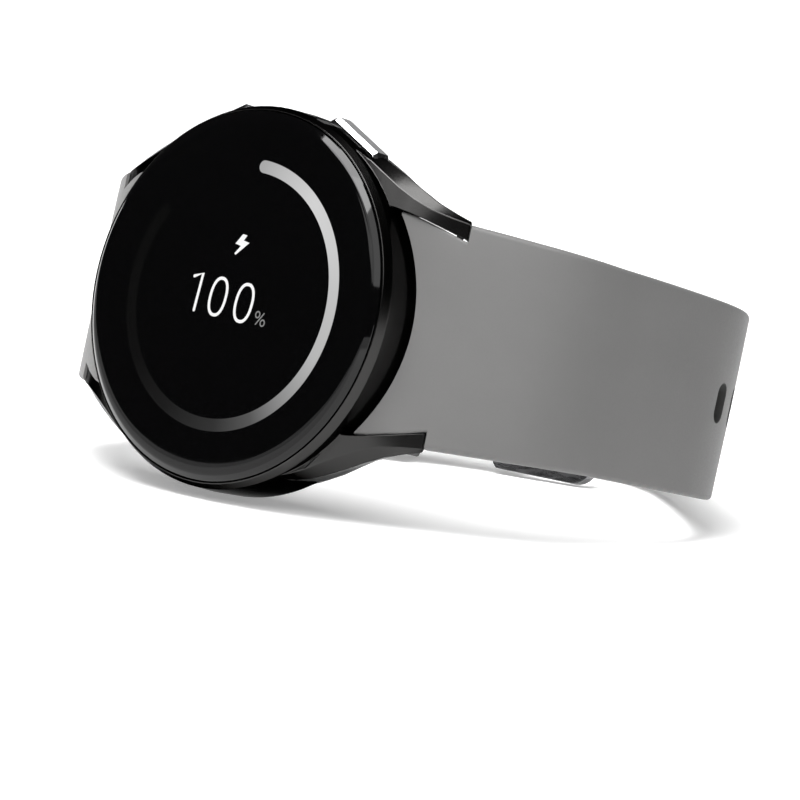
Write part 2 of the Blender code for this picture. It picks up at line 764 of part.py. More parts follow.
def lay_down():
    """Parents every loose object to the watch's axes, then stands the watch on the ground."""
    watch = bpy.data.objects.new("watch_axes", None)
    bpy.context.collection.objects.link(watch)
    for piece in list(bpy.data.objects):
        if piece.parent is None and piece is not watch:
            piece.parent = watch
    lean = math.radians(REST_TILT)
    three = Vector((0, math.sin(lean), math.cos(lean)))
    twelve = Vector((-1, 0, 0))
    front = Vector((0, -math.cos(lean), math.sin(lean)))
    watch.matrix_world = Matrix((three, twelve, front)).transposed().to_4x4()
    bpy.context.view_layer.update()
    depsgraph = bpy.context.evaluated_depsgraph_get()
    corners = []
    for piece in bpy.data.objects:
        if piece.type == "MESH" and not piece.hide_render:
            evaluated = piece.evaluated_get(depsgraph)
            corners.extend(piece.matrix_world @ vertex.co for vertex in evaluated.data.vertices)
    low = Vector([min(corner[i] for corner in corners) for i in range(3)])
    high = Vector([max(corner[i] for corner in corners) for i in range(3)])
    watch.location = -Vector(((low.x + high.x) / 2, (low.y + high.y) / 2, low.z))
    bpy.context.view_layer.update()


def main():
    clear_scene()
    aluminium = material("graphite_aluminium", (0.10, 0.10, 0.105), 0.32, 1.0)
    polished = material("polished_aluminium", (0.62, 0.62, 0.63), 0.18, 1.0)
    steel = material("steel", (0.55, 0.55, 0.56), 0.3, 1.0)
    glass = material("black_glass", (0.004, 0.004, 0.005), 0.05)
    silicone = material("grey_silicone", (0.24, 0.235, 0.23), 0.55)
    black = material("black_plastic", (0.02, 0.02, 0.02), 0.5)
    rubber = material("seal_rubber", (0.03, 0.03, 0.03), 0.7)
    board = material("board_green", (0.03, 0.12, 0.06), 0.5)
    foil = material("battery_foil", (0.55, 0.55, 0.56), 0.35, 0.8)
    copper = material("copper", (0.75, 0.36, 0.2), 0.35, 1.0)
    case_frame(aluminium)
    front_glass(glass)
    disc("front_seal", 18.9, -0.8, -1.3, rubber, inner=17.7)
    disc("back_seal", 18.0, -7.26, -7.5, rubber, inner=17.65)
    inner_chassis(black)
    electronics(black, board, steel, foil)
    buttons(polished, rubber, black)
    back_cover(black)
    back_screws(steel)
    back_sensors(glass, black, copper, steel)
    slot_band(silicone)
    buckle_band(silicone)
    spring_bar("slot", -1, steel)
    spring_bar("buckle", 1, steel)
    buckle(steel)
    keeper(silicone)
    swing_buckle_half()
    lay_down()


main()
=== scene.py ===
"""Looks of a round smartwatch with a silicone strap, on a pale studio floor.

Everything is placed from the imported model: the watch's own axes come from its two strap hinges. In those
axes +X points to 3 o'clock, +Y to 12 o'clock and +Z out of the display. Their unit here is the millimetre.
"""

import json
import math

import bmesh
import bpy
from mathutils import Matrix, Vector

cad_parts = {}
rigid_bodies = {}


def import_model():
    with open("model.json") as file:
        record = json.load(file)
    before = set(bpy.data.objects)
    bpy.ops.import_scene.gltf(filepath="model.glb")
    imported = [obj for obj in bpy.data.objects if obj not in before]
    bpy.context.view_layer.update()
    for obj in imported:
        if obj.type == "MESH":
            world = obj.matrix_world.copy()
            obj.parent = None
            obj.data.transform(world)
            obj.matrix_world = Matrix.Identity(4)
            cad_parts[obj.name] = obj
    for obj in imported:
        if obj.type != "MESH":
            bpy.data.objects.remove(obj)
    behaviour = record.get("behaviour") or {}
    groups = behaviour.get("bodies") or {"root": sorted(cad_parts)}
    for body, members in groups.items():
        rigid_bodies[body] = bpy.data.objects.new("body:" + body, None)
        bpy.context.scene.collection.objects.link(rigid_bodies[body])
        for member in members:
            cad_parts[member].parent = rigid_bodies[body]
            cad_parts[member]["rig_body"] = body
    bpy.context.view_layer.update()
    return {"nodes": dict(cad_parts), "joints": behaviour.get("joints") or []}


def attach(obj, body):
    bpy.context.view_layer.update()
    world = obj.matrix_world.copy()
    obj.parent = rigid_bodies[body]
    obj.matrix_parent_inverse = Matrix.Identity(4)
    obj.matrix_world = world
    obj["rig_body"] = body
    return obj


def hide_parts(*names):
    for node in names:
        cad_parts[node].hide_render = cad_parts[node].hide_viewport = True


MM = 0.001

# Spring bars: how far out and how deep they lie, the holes for them and the notch for each release lever
BAR_Y = 21.6
BAR_Z = -7.2
BAR_TILT = 30.0
BAR_HOLE = (0.78, 13.0)
BUCKLE_BAR_HOLE = (0.72, 12.0)
BUCKLE_BAR_INSET = 2.2
LEVER_X = 6.75
LEVER_SLOT = (1.6, 0.85)

# Strap path: the outer face runs in arcs of (radius, turn in degrees) from over the case edge.
# Where the radius is None, the run is straight and the number is its length.
STRAP_START = (17.1, -3.0)
STRAP_HEADING = 22.0
STRAP_ARCS = ((44.0, 20.0), (13.5, 33.0), (59.5, 15.0), (16.0, 41.7))
TAIL_ARCS = ((250.0, 6.0), (32.0, 80.0))
BUCKLE_ARCS = ((30.0, 14.0), (None, 11.0), (30.0, 20.0))
BUCKLE_SWING = 6.5

# Strap shape: stops of (length along the path, size), then the fit round the case and the adjustment slots
SHOULDER = 7.22
END_STATIONS = (0.0, 0.75, 1.5, 2.25, 3.0, 3.8, 4.6, 5.6, 6.6, SHOULDER - 0.02)
END_WIDTHS = ((0.0, 22.6), (1.5, 22.2), (3.0, 21.46), (4.6, 20.6), (6.6, 19.36), (7.2, 19.1))
STRAP_WIDTHS = ((SHOULDER, 22.6), (24.0, 20.9), (48.0, 19.7), (62.0, 18.6), (80.0, 17.2), (125.0, 16.4))
STRAP_DEPTHS = ((0.0, 2.3), (2.6, 3.5), (4.6, 4.1), (9.0, 3.5), (18.0, 2.6), (26.0, 2.3), (125.0, 2.2))
STATION_GAP = 0.9
CROWN = 0.06
ROLL_STEPS = 5
TIP_STEPS = 12
TIP_SWEEP = 78.0
CASE_FIT = 20.35
SLOT_COUNT = 10
FIRST_SLOT = 42.4
SLOT_SPACING = 4.9
SLOT_HALVES = (2.1, 1.1)
TANG_ROOM = ((2.1, -1.95), (2.1, 4.05), (-2.1, 4.05), (-2.1, -1.95))

# Buttons: the angle of each from 3 o'clock, their depth behind the display, and the recesses they sit in
BUTTON_ANGLE = 27.0
BUTTON_DEPTH = 4.1
RECESS_HALF_LENGTH = 3.95
RECESS_HALF_HEIGHT = 1.5
RECESS_START = 17.0
# Recess faces out to this radius are made matt black, as painted shade.
RECESS_SHADE_TO = 19.56
RECESS_END = 25.0

# Cover glass: (radius, height) from the middle of its face out to the rim and back underneath
GLASS_TOP = 0.35
EDGE_START = 18.4
GLASS_PROFILE = (
    (0, GLASS_TOP), (16.5, GLASS_TOP), (17.4, 0.33), (17.9, 0.29), (18.2, 0.23), (18.34, 0.17),
    (18.44, 0.1), (18.9, -0.27), (18.95, -0.34), (18.95, -0.75), (0, -0.75),
)

# Display: sizes read along the text (right) and up from it, from the centre of the glass
DIAL_TURN = -4.2
DIAL_Z = GLASS_TOP + 0.012
RING_SHIFT = (0.3, 0.0)
RING_RADIUS = 13.3
RING_WIDTH = 1.3
RING_START = -0.9
RING_SWEEP = 300.0
RING_STEPS = 160
RING_TONES = (
    (0, 0.4), (12, 0.5), (35, 0.64), (60, 0.6), (80, 0.53), (108, 0.46), (135, 0.23), (150, 0.09),
    (170, 0.03), (200, 0.009), (230, 0.0015), (300, 0.0003),
)
DIGIT_STROKE = 0.33
DIGIT_TONE = 0.95
PERCENT_STROKE = 0.15
PERCENT_TONE = 0.24
BOLT = (
    (-0.25, 6.2), (0.36, 6.17), (0.06, 5.58), (0.88, 5.5),
    (-0.5, 3.98), (-0.72, 4.1), (-0.14, 4.98), (-0.93, 5.08),
)

# Floor, in metres: its flat radius, then the radius and turn in degrees of the rim that rises round it
FLOOR_RADIUS = 2.4
RIM_RADIUS = 0.4
RIM_TURN = 60.0
RIM_STEPS = 8

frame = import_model()
joints = {joint["name"]: joint for joint in frame["joints"]}


def watch_axes():
    """The watch's own axes, from the middle of the glass, found from the two spring bars."""
    slot_bar = Vector(joints["slot_hinge"]["pos_m"])
    buckle_bar = Vector(joints["buckle_hinge"]["pos_m"])
    three = Vector(joints["buckle_hinge"]["axis"]).normalized()
    twelve = (buckle_bar - slot_bar).normalized()
    front = three.cross(twelve).normalized()
    axes = Matrix((three, twelve, front)).transposed().to_4x4()
    middle = (slot_bar + buckle_bar) / 2
    axes.translation = middle - front * BAR_Z * MM
    return axes


WATCH = watch_axes()
UNIT = Matrix.Diagonal((MM, MM, MM, 1.0))


def between(stops, at):
    """The value at a place along stops of (place, value), level past the last one."""
    for (start, first), (end, last) in zip(stops, stops[1:]):
        if at <= end:
            return first + (last - first) * max(0.0, (at - start) / (end - start))
    return stops[-1][1]


# ---------------------------------------------------------------- materials


def shader_material(name, colour, roughness, metallic=0.0):
    """A new material with its node tree's parts, to be detailed further."""
    made = bpy.data.materials.new(name)
    made.use_nodes = True
    shader = made.node_tree.nodes["Principled BSDF"]
    shader.inputs["Base Color"].default_value = (*colour, 1.0)
    shader.inputs["Roughness"].default_value = roughness
    shader.inputs["Metallic"].default_value = metallic
    return made, made.node_tree.nodes, made.node_tree.links, shader


def noise(nodes, links, scale, detail=3.0, stretch=(1.0, 1.0, 1.0), seed=0.0):
    """Noise in the object's own space; a stretched one looks brushed."""
    place = nodes.new("ShaderNodeTexCoord")
    mapping = nodes.new("ShaderNodeMapping")
    mapping.inputs["Scale"].default_value = stretch
    mapping.inputs["Location"].default_value = (seed, seed, seed)
    made = nodes.new("ShaderNodeTexNoise")
    made.inputs["Scale"].default_value = scale
    made.inputs["Detail"].default_value = detail
    links.new(place.outputs["Object"], mapping.inputs["Vector"])
    links.new(mapping.outputs["Vector"], made.inputs["Vector"])
    return made.outputs["Fac"]


def spread(nodes, links, source, low, high, start=0.3, end=0.7):
    """A value of low to high as the source goes from start to end."""
    made = nodes.new("ShaderNodeMapRange")
    made.inputs["From Min"].default_value = start
    made.inputs["From Max"].default_value = end
    made.inputs["To Min"].default_value = low
    made.inputs["To Max"].default_value = high
    links.new(source, made.inputs["Value"])
    return made.outputs["Result"]


def tint(nodes, links, source, dark, light):
    """A colour from dark to light as the source rises."""
    made = nodes.new("ShaderNodeValToRGB")
    made.color_ramp.elements[0].position = 0.3
    made.color_ramp.elements[0].color = (*dark, 1.0)
    made.color_ramp.elements[1].position = 0.7
    made.color_ramp.elements[1].color = (*light, 1.0)
    links.new(source, made.inputs["Fac"])
    return made.outputs["Color"]


def bump(nodes, links, source, strength, distance, normal=None):
    """Fine relief from the source, on top of another relief if one is given."""
    made = nodes.new("ShaderNodeBump")
    made.inputs["Strength"].default_value = strength
    made.inputs["Distance"].default_value = distance
    links.new(source, made.inputs["Height"])
    if normal:
        links.new(normal, made.inputs["Normal"])
    return made.outputs["Normal"]


def edge_wear(nodes):
    """About 0.5 on flats and more along edges."""
    return nodes.new("ShaderNodeNewGeometry").outputs["Pointiness"]


def silicone(name, shade):
    """Matt grey silicone with a faint cloudiness and a fine grain, its colour scaled by shade; a low shade
    paints shade on it.
    """
    made, nodes, links, shader = shader_material(name, (0.15, 0.148, 0.146), 0.55)
    cloud = noise(nodes, links, 70.0, 4.0)
    grain = noise(nodes, links, 5200.0, 2.0, seed=3.0)
    dark = tuple(shade * value for value in (0.136, 0.1345, 0.133))
    light = tuple(shade * value for value in (0.152, 0.1505, 0.149))
    links.new(tint(nodes, links, cloud, dark, light), shader.inputs["Base Color"])
    links.new(spread(nodes, links, grain, 0.48, 0.62), shader.inputs["Roughness"])
    soft = bump(nodes, links, noise(nodes, links, 900.0, 3.0, seed=7.0), 0.12, 0.0001)
    links.new(bump(nodes, links, grain, 0.10, 0.00003, soft), shader.inputs["Normal"])
    shader.inputs["Specular IOR Level"].default_value = 0.35
    shader.inputs["Sheen Weight"].default_value = 0.12
    shader.inputs["Sheen Roughness"].default_value = 0.4
    return made


def anodised():
    """Nearly black anodised metal, lighter where its edges are worn."""
    made, nodes, links, shader = shader_material("case_anodised", (0.026, 0.0255, 0.025), 0.2, 1.0)
    blast = noise(nodes, links, 7000.0, 2.0)
    patch = noise(nodes, links, 160.0, 3.0, seed=5.0)
    wear = edge_wear(nodes)
    worn = tint(nodes, links, wear, (0.02, 0.0196, 0.0192), (0.05, 0.0495, 0.049))
    links.new(worn, shader.inputs["Base Color"])
    links.new(spread(nodes, links, patch, 0.16, 0.22), shader.inputs["Roughness"])
    links.new(bump(nodes, links, blast, 0.08, 0.00002), shader.inputs["Normal"])
    shader.inputs["Specular Tint"].default_value = (0.2, 0.2, 0.2, 1.0)
    return made


def brushed(name, colour, roughness, stretch, scale=900.0):
    """Metal with fine lines along the axis whose stretch number is the smallest."""
    made, nodes, links, shader = shader_material(name, colour, roughness, 1.0)
    lines = noise(nodes, links, scale, 3.0, stretch)
    light = tuple(min(1.0, c * 1.08) for c in colour)
    dark = tuple(c * 0.92 for c in colour)
    links.new(tint(nodes, links, lines, dark, light), shader.inputs["Base Color"])
    links.new(spread(nodes, links, lines, roughness * 0.8, roughness * 1.3), shader.inputs["Roughness"])
    links.new(bump(nodes, links, lines, 0.10, 0.00002), shader.inputs["Normal"])
    return made


def black_glass(name, gloss):
    """Black-backed glass with faint smudges."""
    made, nodes, links, shader = shader_material(name, (0.0012, 0.0012, 0.0013), 0.04)
    smudge = noise(nodes, links, 130.0, 4.0)
    links.new(spread(nodes, links, smudge, 0.03, 0.075), shader.inputs["Roughness"])
    swell = noise(nodes, links, 60.0, 1.0, seed=2.0)
    links.new(bump(nodes, links, swell, 0.02, 0.00002), shader.inputs["Normal"])
    shader.inputs["Specular IOR Level"].default_value = gloss
    return made


def plastic(name, colour, roughness, grain=3500.0):
    """Plastic or rubber with a fine speckle."""
    made, nodes, links, shader = shader_material(name, colour, roughness)
    speck = noise(nodes, links, grain, 3.0)
    light = tuple(min(1.0, c * 1.25 + 0.002) for c in colour)
    links.new(tint(nodes, links, speck, colour, light), shader.inputs["Base Color"])
    rough = spread(nodes, links, speck, roughness * 0.85, min(1.0, roughness * 1.2))
    links.new(rough, shader.inputs["Roughness"])
    links.new(bump(nodes, links, speck, 0.15, 0.00003), shader.inputs["Normal"])
    return made


def circuit_board():
    """Green board with a pattern of small cells."""
    made, nodes, links, shader = shader_material("circuit_board", (0.03, 0.12, 0.06), 0.45)
    cells = nodes.new("ShaderNodeTexVoronoi")
    cells.inputs["Scale"].default_value = 900.0
    place = nodes.new("ShaderNodeTexCoord")
    links.new(place.outputs["Object"], cells.inputs["Vector"])
    links.new(tint(nodes, links, cells.outputs["Distance"], (0.02, 0.09, 0.04), (0.05, 0.16, 0.08)),
              shader.inputs["Base Color"])
    links.new(bump(nodes, links, cells.outputs["Distance"], 0.2, 0.00003), shader.inputs["Normal"])
    return made


def winding():
    """Copper wire wound round the watch's own axis."""
    made, nodes, links, shader = shader_material("copper_winding", (0.75, 0.36, 0.2), 0.3, 1.0)
    place = nodes.new("ShaderNodeTexCoord")
    mapping = nodes.new("ShaderNodeMapping")
    mapping.vector_type = "TEXTURE"
    mapping.inputs["Location"].default_value = WATCH.translation
    mapping.inputs["Rotation"].default_value = WATCH.to_euler()
    rings = nodes.new("ShaderNodeTexWave")
    rings.wave_type = "RINGS"
    rings.rings_direction = "Z"
    rings.inputs["Scale"].default_value = 900.0
    links.new(place.outputs["Object"], mapping.inputs["Vector"])
    links.new(mapping.outputs["Vector"], rings.inputs["Vector"])
    links.new(tint(nodes, links, rings.outputs["Fac"], (0.55, 0.22, 0.11), (0.8, 0.42, 0.24)),
              shader.inputs["Base Color"])
    links.new(bump(nodes, links, rings.outputs["Fac"], 0.5, 0.00005), shader.inputs["Normal"])
    return made


def lit(name):
    """A part of the display that shines by the tone painted on its mesh, under a gloss like the glass's."""
    made, nodes, links, shader = shader_material(name, (0.002, 0.002, 0.002), 0.06)
    tone = nodes.new("ShaderNodeVertexColor")
    tone.layer_name = "tone"
    links.new(tone.outputs["Color"], shader.inputs["Emission Color"])
    shader.inputs["Emission Strength"].default_value = 1.0
    shader.inputs["Specular IOR Level"].default_value = 0.32
    cells = noise(nodes, links, 9000.0, 1.0)
    links.new(spread(nodes, links, cells, 0.04, 0.08), shader.inputs["Roughness"])
    return made


SILICONE = silicone("strap_silicone", 0.82)
# The slot walls take the same silicone made much darker: painted shade inside the adjustment slots.
SLOT_WALL_PAINTED_SHADE = silicone("strap_slot_wall_painted_shade", 0.3)
CASE = anodised()
BUTTON = brushed("button_polished", (0.72, 0.72, 0.73), 0.16, (1.0, 0.1, 1.0))
STEEL = brushed("fine_steel", (0.2, 0.2, 0.205), 0.26, (0.08, 1.0, 1.0), 2600.0)
GLASS = black_glass("cover_glass", 0.22)
GLASS_EDGE = black_glass("cover_glass_edge", 0.3)
BLACK = plastic("back_cover_plastic", (0.012, 0.012, 0.013), 0.42)
SEAL = plastic("seal_rubber_black", (0.02, 0.02, 0.02), 0.6, 5000.0)
BOARD = circuit_board()
FOIL = brushed("battery_foil_skin", (0.6, 0.6, 0.62), 0.34, (1.0, 1.0, 1.0), 700.0)
COPPER = winding()
TRIM = brushed("electrode_metal", (0.42, 0.42, 0.44), 0.22, (1.0, 1.0, 1.0), 3000.0)


# ---------------------------------------------------------------- mesh helpers


def new_object(name, maker, finish, body, sharp=32.0, place=WATCH @ UNIT):
    """Takes a bmesh in the watch's axes and millimetres to a smooth-shaded object that rides on a body."""
    bmesh.ops.recalc_face_normals(maker, faces=maker.faces)
    mesh = bpy.data.meshes.new(name)
    maker.to_mesh(mesh)
    maker.free()
    mesh.transform(place)
    mesh.shade_smooth()
    mesh.set_sharp_from_angle(angle=math.radians(sharp))
    if finish:
        mesh.materials.append(finish)
    made = bpy.data.objects.new(name, mesh)
    bpy.context.scene.collection.objects.link(made)
    if body:
        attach(made, body)
    return made


def soften(made, width, segments=2, angle=32.0, clamp=True, stays_crisp=None):
    """Rounds an object's sharp edges, apart from those with a middle that stays_crisp accepts."""
    maker = bmesh.new()
    maker.from_mesh(made.data)
    weight = maker.edges.layers.float.new("bevel_weight_edge")
    for edge in maker.edges:
        if len(edge.link_faces) == 2 and edge.calc_face_angle() > math.radians(angle):
            middle = (edge.verts[0].co + edge.verts[1].co) / 2
            edge[weight] = 0.0 if stays_crisp and stays_crisp(middle) else 1.0
    maker.to_mesh(made.data)
    maker.free()
    step = made.modifiers.new("edges", "BEVEL")
    step.width = width * MM
    step.segments = segments
    step.limit_method = "WEIGHT"
    step.miter_outer = "MITER_ARC"
    step.use_clamp_overlap = clamp
    step.harden_normals = True


def refined(node, finish, edge=0.0, segments=2, sharp=32.0, weld=0.002, clamp=True, stays_crisp=None):
    """A welded, smooth-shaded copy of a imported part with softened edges, shown in its place."""
    source = frame["nodes"][node]
    maker = bmesh.new()
    maker.from_mesh(source.data)
    bmesh.ops.remove_doubles(maker, verts=maker.verts, dist=weld * MM)
    bmesh.ops.dissolve_limit(maker, angle_limit=math.radians(0.4), verts=maker.verts, edges=maker.edges)
    mesh = bpy.data.meshes.new(node + "_shown")
    maker.to_mesh(mesh)
    maker.free()
    spare = mesh.attributes.get("custom_normal")
    if spare:
        mesh.attributes.remove(spare)
    mesh.shade_smooth()
    mesh.set_sharp_from_angle(angle=math.radians(sharp))
    mesh.materials.clear()
    mesh.materials.append(finish)
    made = bpy.data.objects.new(node + "_shown", mesh)
    bpy.context.scene.collection.objects.link(made)
    if edge:
        soften(made, edge, segments, sharp, clamp, stays_crisp)
    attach(made, source["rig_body"])
    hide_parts(node)
    return made


def near_recess(point, end=RECESS_END):
    """Whether a point of the case is at a button's recess, no further out than end."""
    at = (WATCH @ UNIT).inverted() @ point
    for side in (1, -1):
        there = Matrix.Rotation(math.radians(-side * BUTTON_ANGLE), 4, "Z") @ at
        along = abs(there.y) < RECESS_HALF_LENGTH
        level = abs(there.z + BUTTON_DEPTH) < RECESS_HALF_HEIGHT
        if along and level and RECESS_START < there.x < end:
            return True
    return False


def paint_recess_shade(mesh):
    """Paints shade into the two button recesses: their faces get the second material, a matt black."""
    for face in mesh.polygons:
        if near_recess(face.center, RECESS_SHADE_TO):
            face.material_index = 1


def repaint(finish, *names):
    """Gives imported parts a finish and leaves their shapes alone."""
    for name in names:
        node = frame["nodes"][name]
        node.data.materials.clear()
        node.data.materials.append(finish)


def loft(maker, sections):
    """Skins a run of closed sections and caps both ends."""
    rows = [[maker.verts.new(point) for point in section] for section in sections]
    count = len(rows[0])
    for row, following in zip(rows, rows[1:]):
        for i in range(count):
            j = (i + 1) % count
            maker.faces.new([row[i], row[j], following[j], following[i]])
    maker.faces.new(rows[0])
    maker.faces.new(rows[-1])


def turn(maker, profile, segments):
    """Turns a closed (radius, z) profile about the watch's Z."""
    rows = []
    for radius, z in profile:
        if radius == 0:
            rows.append([maker.verts.new((0, 0, z))])
            continue
        ring = []
        for i in range(segments):
            angle = 2 * math.pi * i / segments
            ring.append(maker.verts.new((radius * math.cos(angle), radius * math.sin(angle), z)))
        rows.append(ring)
    for ring, following in zip(rows, rows[1:] + rows[:1]):
        if len(ring) == 1 and len(following) == 1:
            continue
        for i in range(segments):
            j = (i + 1) % segments
            if len(ring) == 1:
                maker.faces.new([ring[0], following[i], following[j]])
            elif len(following) == 1:
                maker.faces.new([ring[j], ring[i], following[0]])
            else:
                maker.faces.new([ring[j], ring[i], following[i], following[j]])


def cut(made, maker, name, finish=None):
    """Cuts a bmesh shape, in the watch's axes, out of an object."""
    cutter = new_object(name, maker, finish or SILICONE, None)
    step = made.modifiers.new(name, "BOOLEAN")
    step.operation = "DIFFERENCE"
    step.solver = "EXACT"
    step.material_mode = "TRANSFER"
    step.object = cutter
    return cutter


def bore(made, axes, hole, name):
    """Cuts a round hole of (radius, reach each way) along the X of some axes."""
    radius, reach = hole
    maker = bmesh.new()
    rings = []
    for x in (-reach, reach):
        ring = []
        for i in range(24):
            angle = 2 * math.pi * i / 24
            ring.append(axes @ Vector((x, radius * math.cos(angle), radius * math.sin(angle))))
        rings.append(ring)
    loft(maker, rings)
    return cut(made, maker, name)


def punch(made, places, outline, depths, name, finish=None):
    """Cuts a flat outline through from one depth to the other, at each of some axes."""
    maker = bmesh.new()
    for axes in places:
        loft(maker, [[axes @ Vector((x, y, z)) for x, y in outline] for z in depths])
    return cut(made, maker, name, finish)


def settle(made, cutters, sharp):
    """Applies an object's modifiers and removes the shapes that cut it."""
    bpy.context.view_layer.update()
    depsgraph = bpy.context.evaluated_depsgraph_get()
    mesh = bpy.data.meshes.new_from_object(made.evaluated_get(depsgraph))
    made.modifiers.clear()
    maker = bmesh.new()
    maker.from_mesh(mesh)
    bmesh.ops.remove_doubles(maker, verts=maker.verts, dist=0.02 * MM)
    bmesh.ops.dissolve_degenerate(maker, edges=maker.edges, dist=0.005 * MM)
    maker.to_mesh(mesh)
    maker.free()
    made.data = mesh
    mesh.shade_smooth()
    mesh.set_sharp_from_angle(angle=math.radians(sharp))
    for cutter in cutters:
        bpy.data.objects.remove(cutter, do_unlink=True)


# ---------------------------------------------------------------- glass and display


def glass():
    """The cover glass: flat, then rolling over a soft edge into the case."""
    maker = bmesh.new()
    turn(maker, GLASS_PROFILE, 192)
    for face in maker.faces:
        if face.calc_center_median().to_2d().length > EDGE_START:
            face.material_index = 1
    made = new_object("front_glass_shown", maker, GLASS, "watch_head", 14.0)
    made.data.materials.append(GLASS_EDGE)
    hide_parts("front_glass")


def dial_point(right, up):
    """A point of the display in the watch's axes."""
    angle = math.radians(DIAL_TURN)
    x = right * math.sin(angle) + up * math.cos(angle)
    y = up * math.sin(angle) - right * math.cos(angle)
    return x, y


def dial_sheet():
    """An empty mesh for a display element and the layer that holds its tone."""
    maker = bmesh.new()
    return maker, maker.loops.layers.float_color.new("tone")


def ribbon(maker, layer, points, width, tone, closed=False):
    """A flat stroke with round ends along points on the dial; tone is one value, or one for each point."""
    tones = tone if isinstance(tone, list) else [tone] * len(points)
    half = width / 2
    count = len(points)
    sides = []
    for i, point in enumerate(points):
        before = points[i - 1] if i or closed else points[i]
        after = points[(i + 1) % count] if i + 1 < count or closed else points[i]
        along = (Vector(after) - Vector(before)).normalized()
        off = Vector((-along.y, along.x)) * half
        sides.append((Vector(point) + off, Vector(point) - off))
    pairs = []
    for left, right in sides:
        pairs.append([maker.verts.new((*dial_point(*side), DIAL_Z)) for side in (left, right)])
    faces = []
    for i in range(count if closed else count - 1):
        j = (i + 1) % count
        face = maker.faces.new([pairs[i][0], pairs[i][1], pairs[j][1], pairs[j][0]])
        faces.append((face, (tones[i], tones[i], tones[j], tones[j])))
    if not closed:
        for i, turn_by in ((0, 1), (count - 1, -1)):
            left, right = sides[i]
            centre = Vector(points[i])
            ring = [pairs[i][0]]
            spoke = left - centre
            for k in range(1, 8):
                angle = turn_by * math.pi * k / 8
                side = centre + Vector((spoke.x * math.cos(angle) - spoke.y * math.sin(angle),
                                        spoke.x * math.sin(angle) + spoke.y * math.cos(angle)))
                ring.append(maker.verts.new((*dial_point(*side), DIAL_Z)))
            ring.append(pairs[i][1])
            faces.append((maker.faces.new(ring), [tones[i]] * len(ring)))
    for face, values in faces:
        for loop, value in zip(face.loops, values):
            loop[layer] = (value, value, value, 1.0)


def dial_object(name, maker):
    """A display element: its faces look out of the display whichever way they were drawn."""
    for face in maker.faces:
        face.normal_update()
        if face.normal.z < 0:
            face.normal_flip()
    mesh = bpy.data.meshes.new(name)
    maker.to_mesh(mesh)
    maker.free()
    mesh.transform(WATCH @ UNIT)
    mesh.materials.append(lit(name + "_light"))
    made = bpy.data.objects.new(name, mesh)
    bpy.context.scene.collection.objects.link(made)
    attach(made, "watch_head")


def charge_ring():
    """The charging ring: bright at its start, fading out as it comes round."""
    maker, layer = dial_sheet()
    right, up = RING_SHIFT
    points = []
    tones = []
    for i in range(RING_STEPS + 1):
        degrees = RING_START + RING_SWEEP * i / RING_STEPS
        angle = math.radians(degrees)
        points.append((right + RING_RADIUS * math.sin(angle), up + RING_RADIUS * math.cos(angle)))
        tones.append(between(RING_TONES, degrees - RING_START))
    ribbon(maker, layer, points, RING_WIDTH, tones)
    dial_object("charge_ring", maker)


def oval(centre_right, centre_up, half_width, half_height, steps=48, power=2.3):
    """Points round an oval, a true ellipse where the power is 2 and squarer where it is more."""
    points = []
    for i in range(steps):
        angle = 2 * math.pi * i / steps
        c, s = math.cos(angle), math.sin(angle)
        x = math.copysign(abs(c) ** (2 / power), c) * half_width
        y = math.copysign(abs(s) ** (2 / power), s) * half_height
        points.append((centre_right + x, centre_up + y))
    return points


def charge_figures():
    """The charge level: three digits, a small percent sign and a bolt above them."""
    maker, layer = dial_sheet()
    ribbon(maker, layer, [(-5.1, 0.83), (-4.04, 1.36), (-3.98, -2.5)], DIGIT_STROKE, DIGIT_TONE)
    ribbon(maker, layer, oval(-1.28, -0.54, 1.03, 1.9), DIGIT_STROKE, DIGIT_TONE, True)
    ribbon(maker, layer, oval(2.3, -0.46, 1.07, 1.91), DIGIT_STROKE, DIGIT_TONE, True)
    dial_object("charge_digits", maker)
    maker, layer = dial_sheet()
    for right, up in ((4.5, -1.2), (5.37, -1.9)):
        ribbon(maker, layer, oval(right, up, 0.27, 0.31, 20, 2.0), PERCENT_STROKE, PERCENT_TONE, True)
    ribbon(maker, layer, [(5.28, -0.93), (4.53, -2.18)], PERCENT_STROKE, PERCENT_TONE)
    dial_object("charge_percent", maker)
    maker, layer = dial_sheet()
    face = maker.faces.new([maker.verts.new((*dial_point(*point), DIAL_Z)) for point in BOLT])
    for loop in face.loops:
        loop[layer] = (DIGIT_TONE, DIGIT_TONE, DIGIT_TONE, 1.0)
    dial_object("charge_bolt", maker)


# ---------------------------------------------------------------- strap


def along_path(arcs, at):
    """Distance out from the case, height and heading of the strap's outer face at a length along it."""
    out, height = STRAP_START
    heading = math.radians(STRAP_HEADING)
    for radius, amount in arcs:
        length = amount if radius is None else radius * math.radians(amount)
        here = min(at, length)
        if radius is None:
            out += here * math.cos(heading)
            height -= here * math.sin(heading)
        else:
            after = heading + here / radius
            out += radius * (math.sin(after) - math.sin(heading))
            height -= radius * (math.cos(heading) - math.cos(after))
            heading = after
        at -= here
        if at <= 0:
            break
    return out, height, heading


def path_length(arcs):
    """The length of a path of arcs and straight runs."""
    return sum(amount if radius is None else radius * math.radians(amount) for radius, amount in arcs)


def path_axes(arcs, at, side):
    """Axes on the strap's outer face at a length along it: X across, Y along and Z out of the face."""
    out, height, heading = along_path(arcs, at)
    along = Vector((0, side * math.cos(heading), -math.sin(heading)))
    normal = Vector((0, side * math.sin(heading), math.cos(heading)))
    axes = Matrix((along.cross(normal), along, normal)).transposed().to_4x4()
    return Matrix.Translation(Vector((0, side * out, height))) @ axes


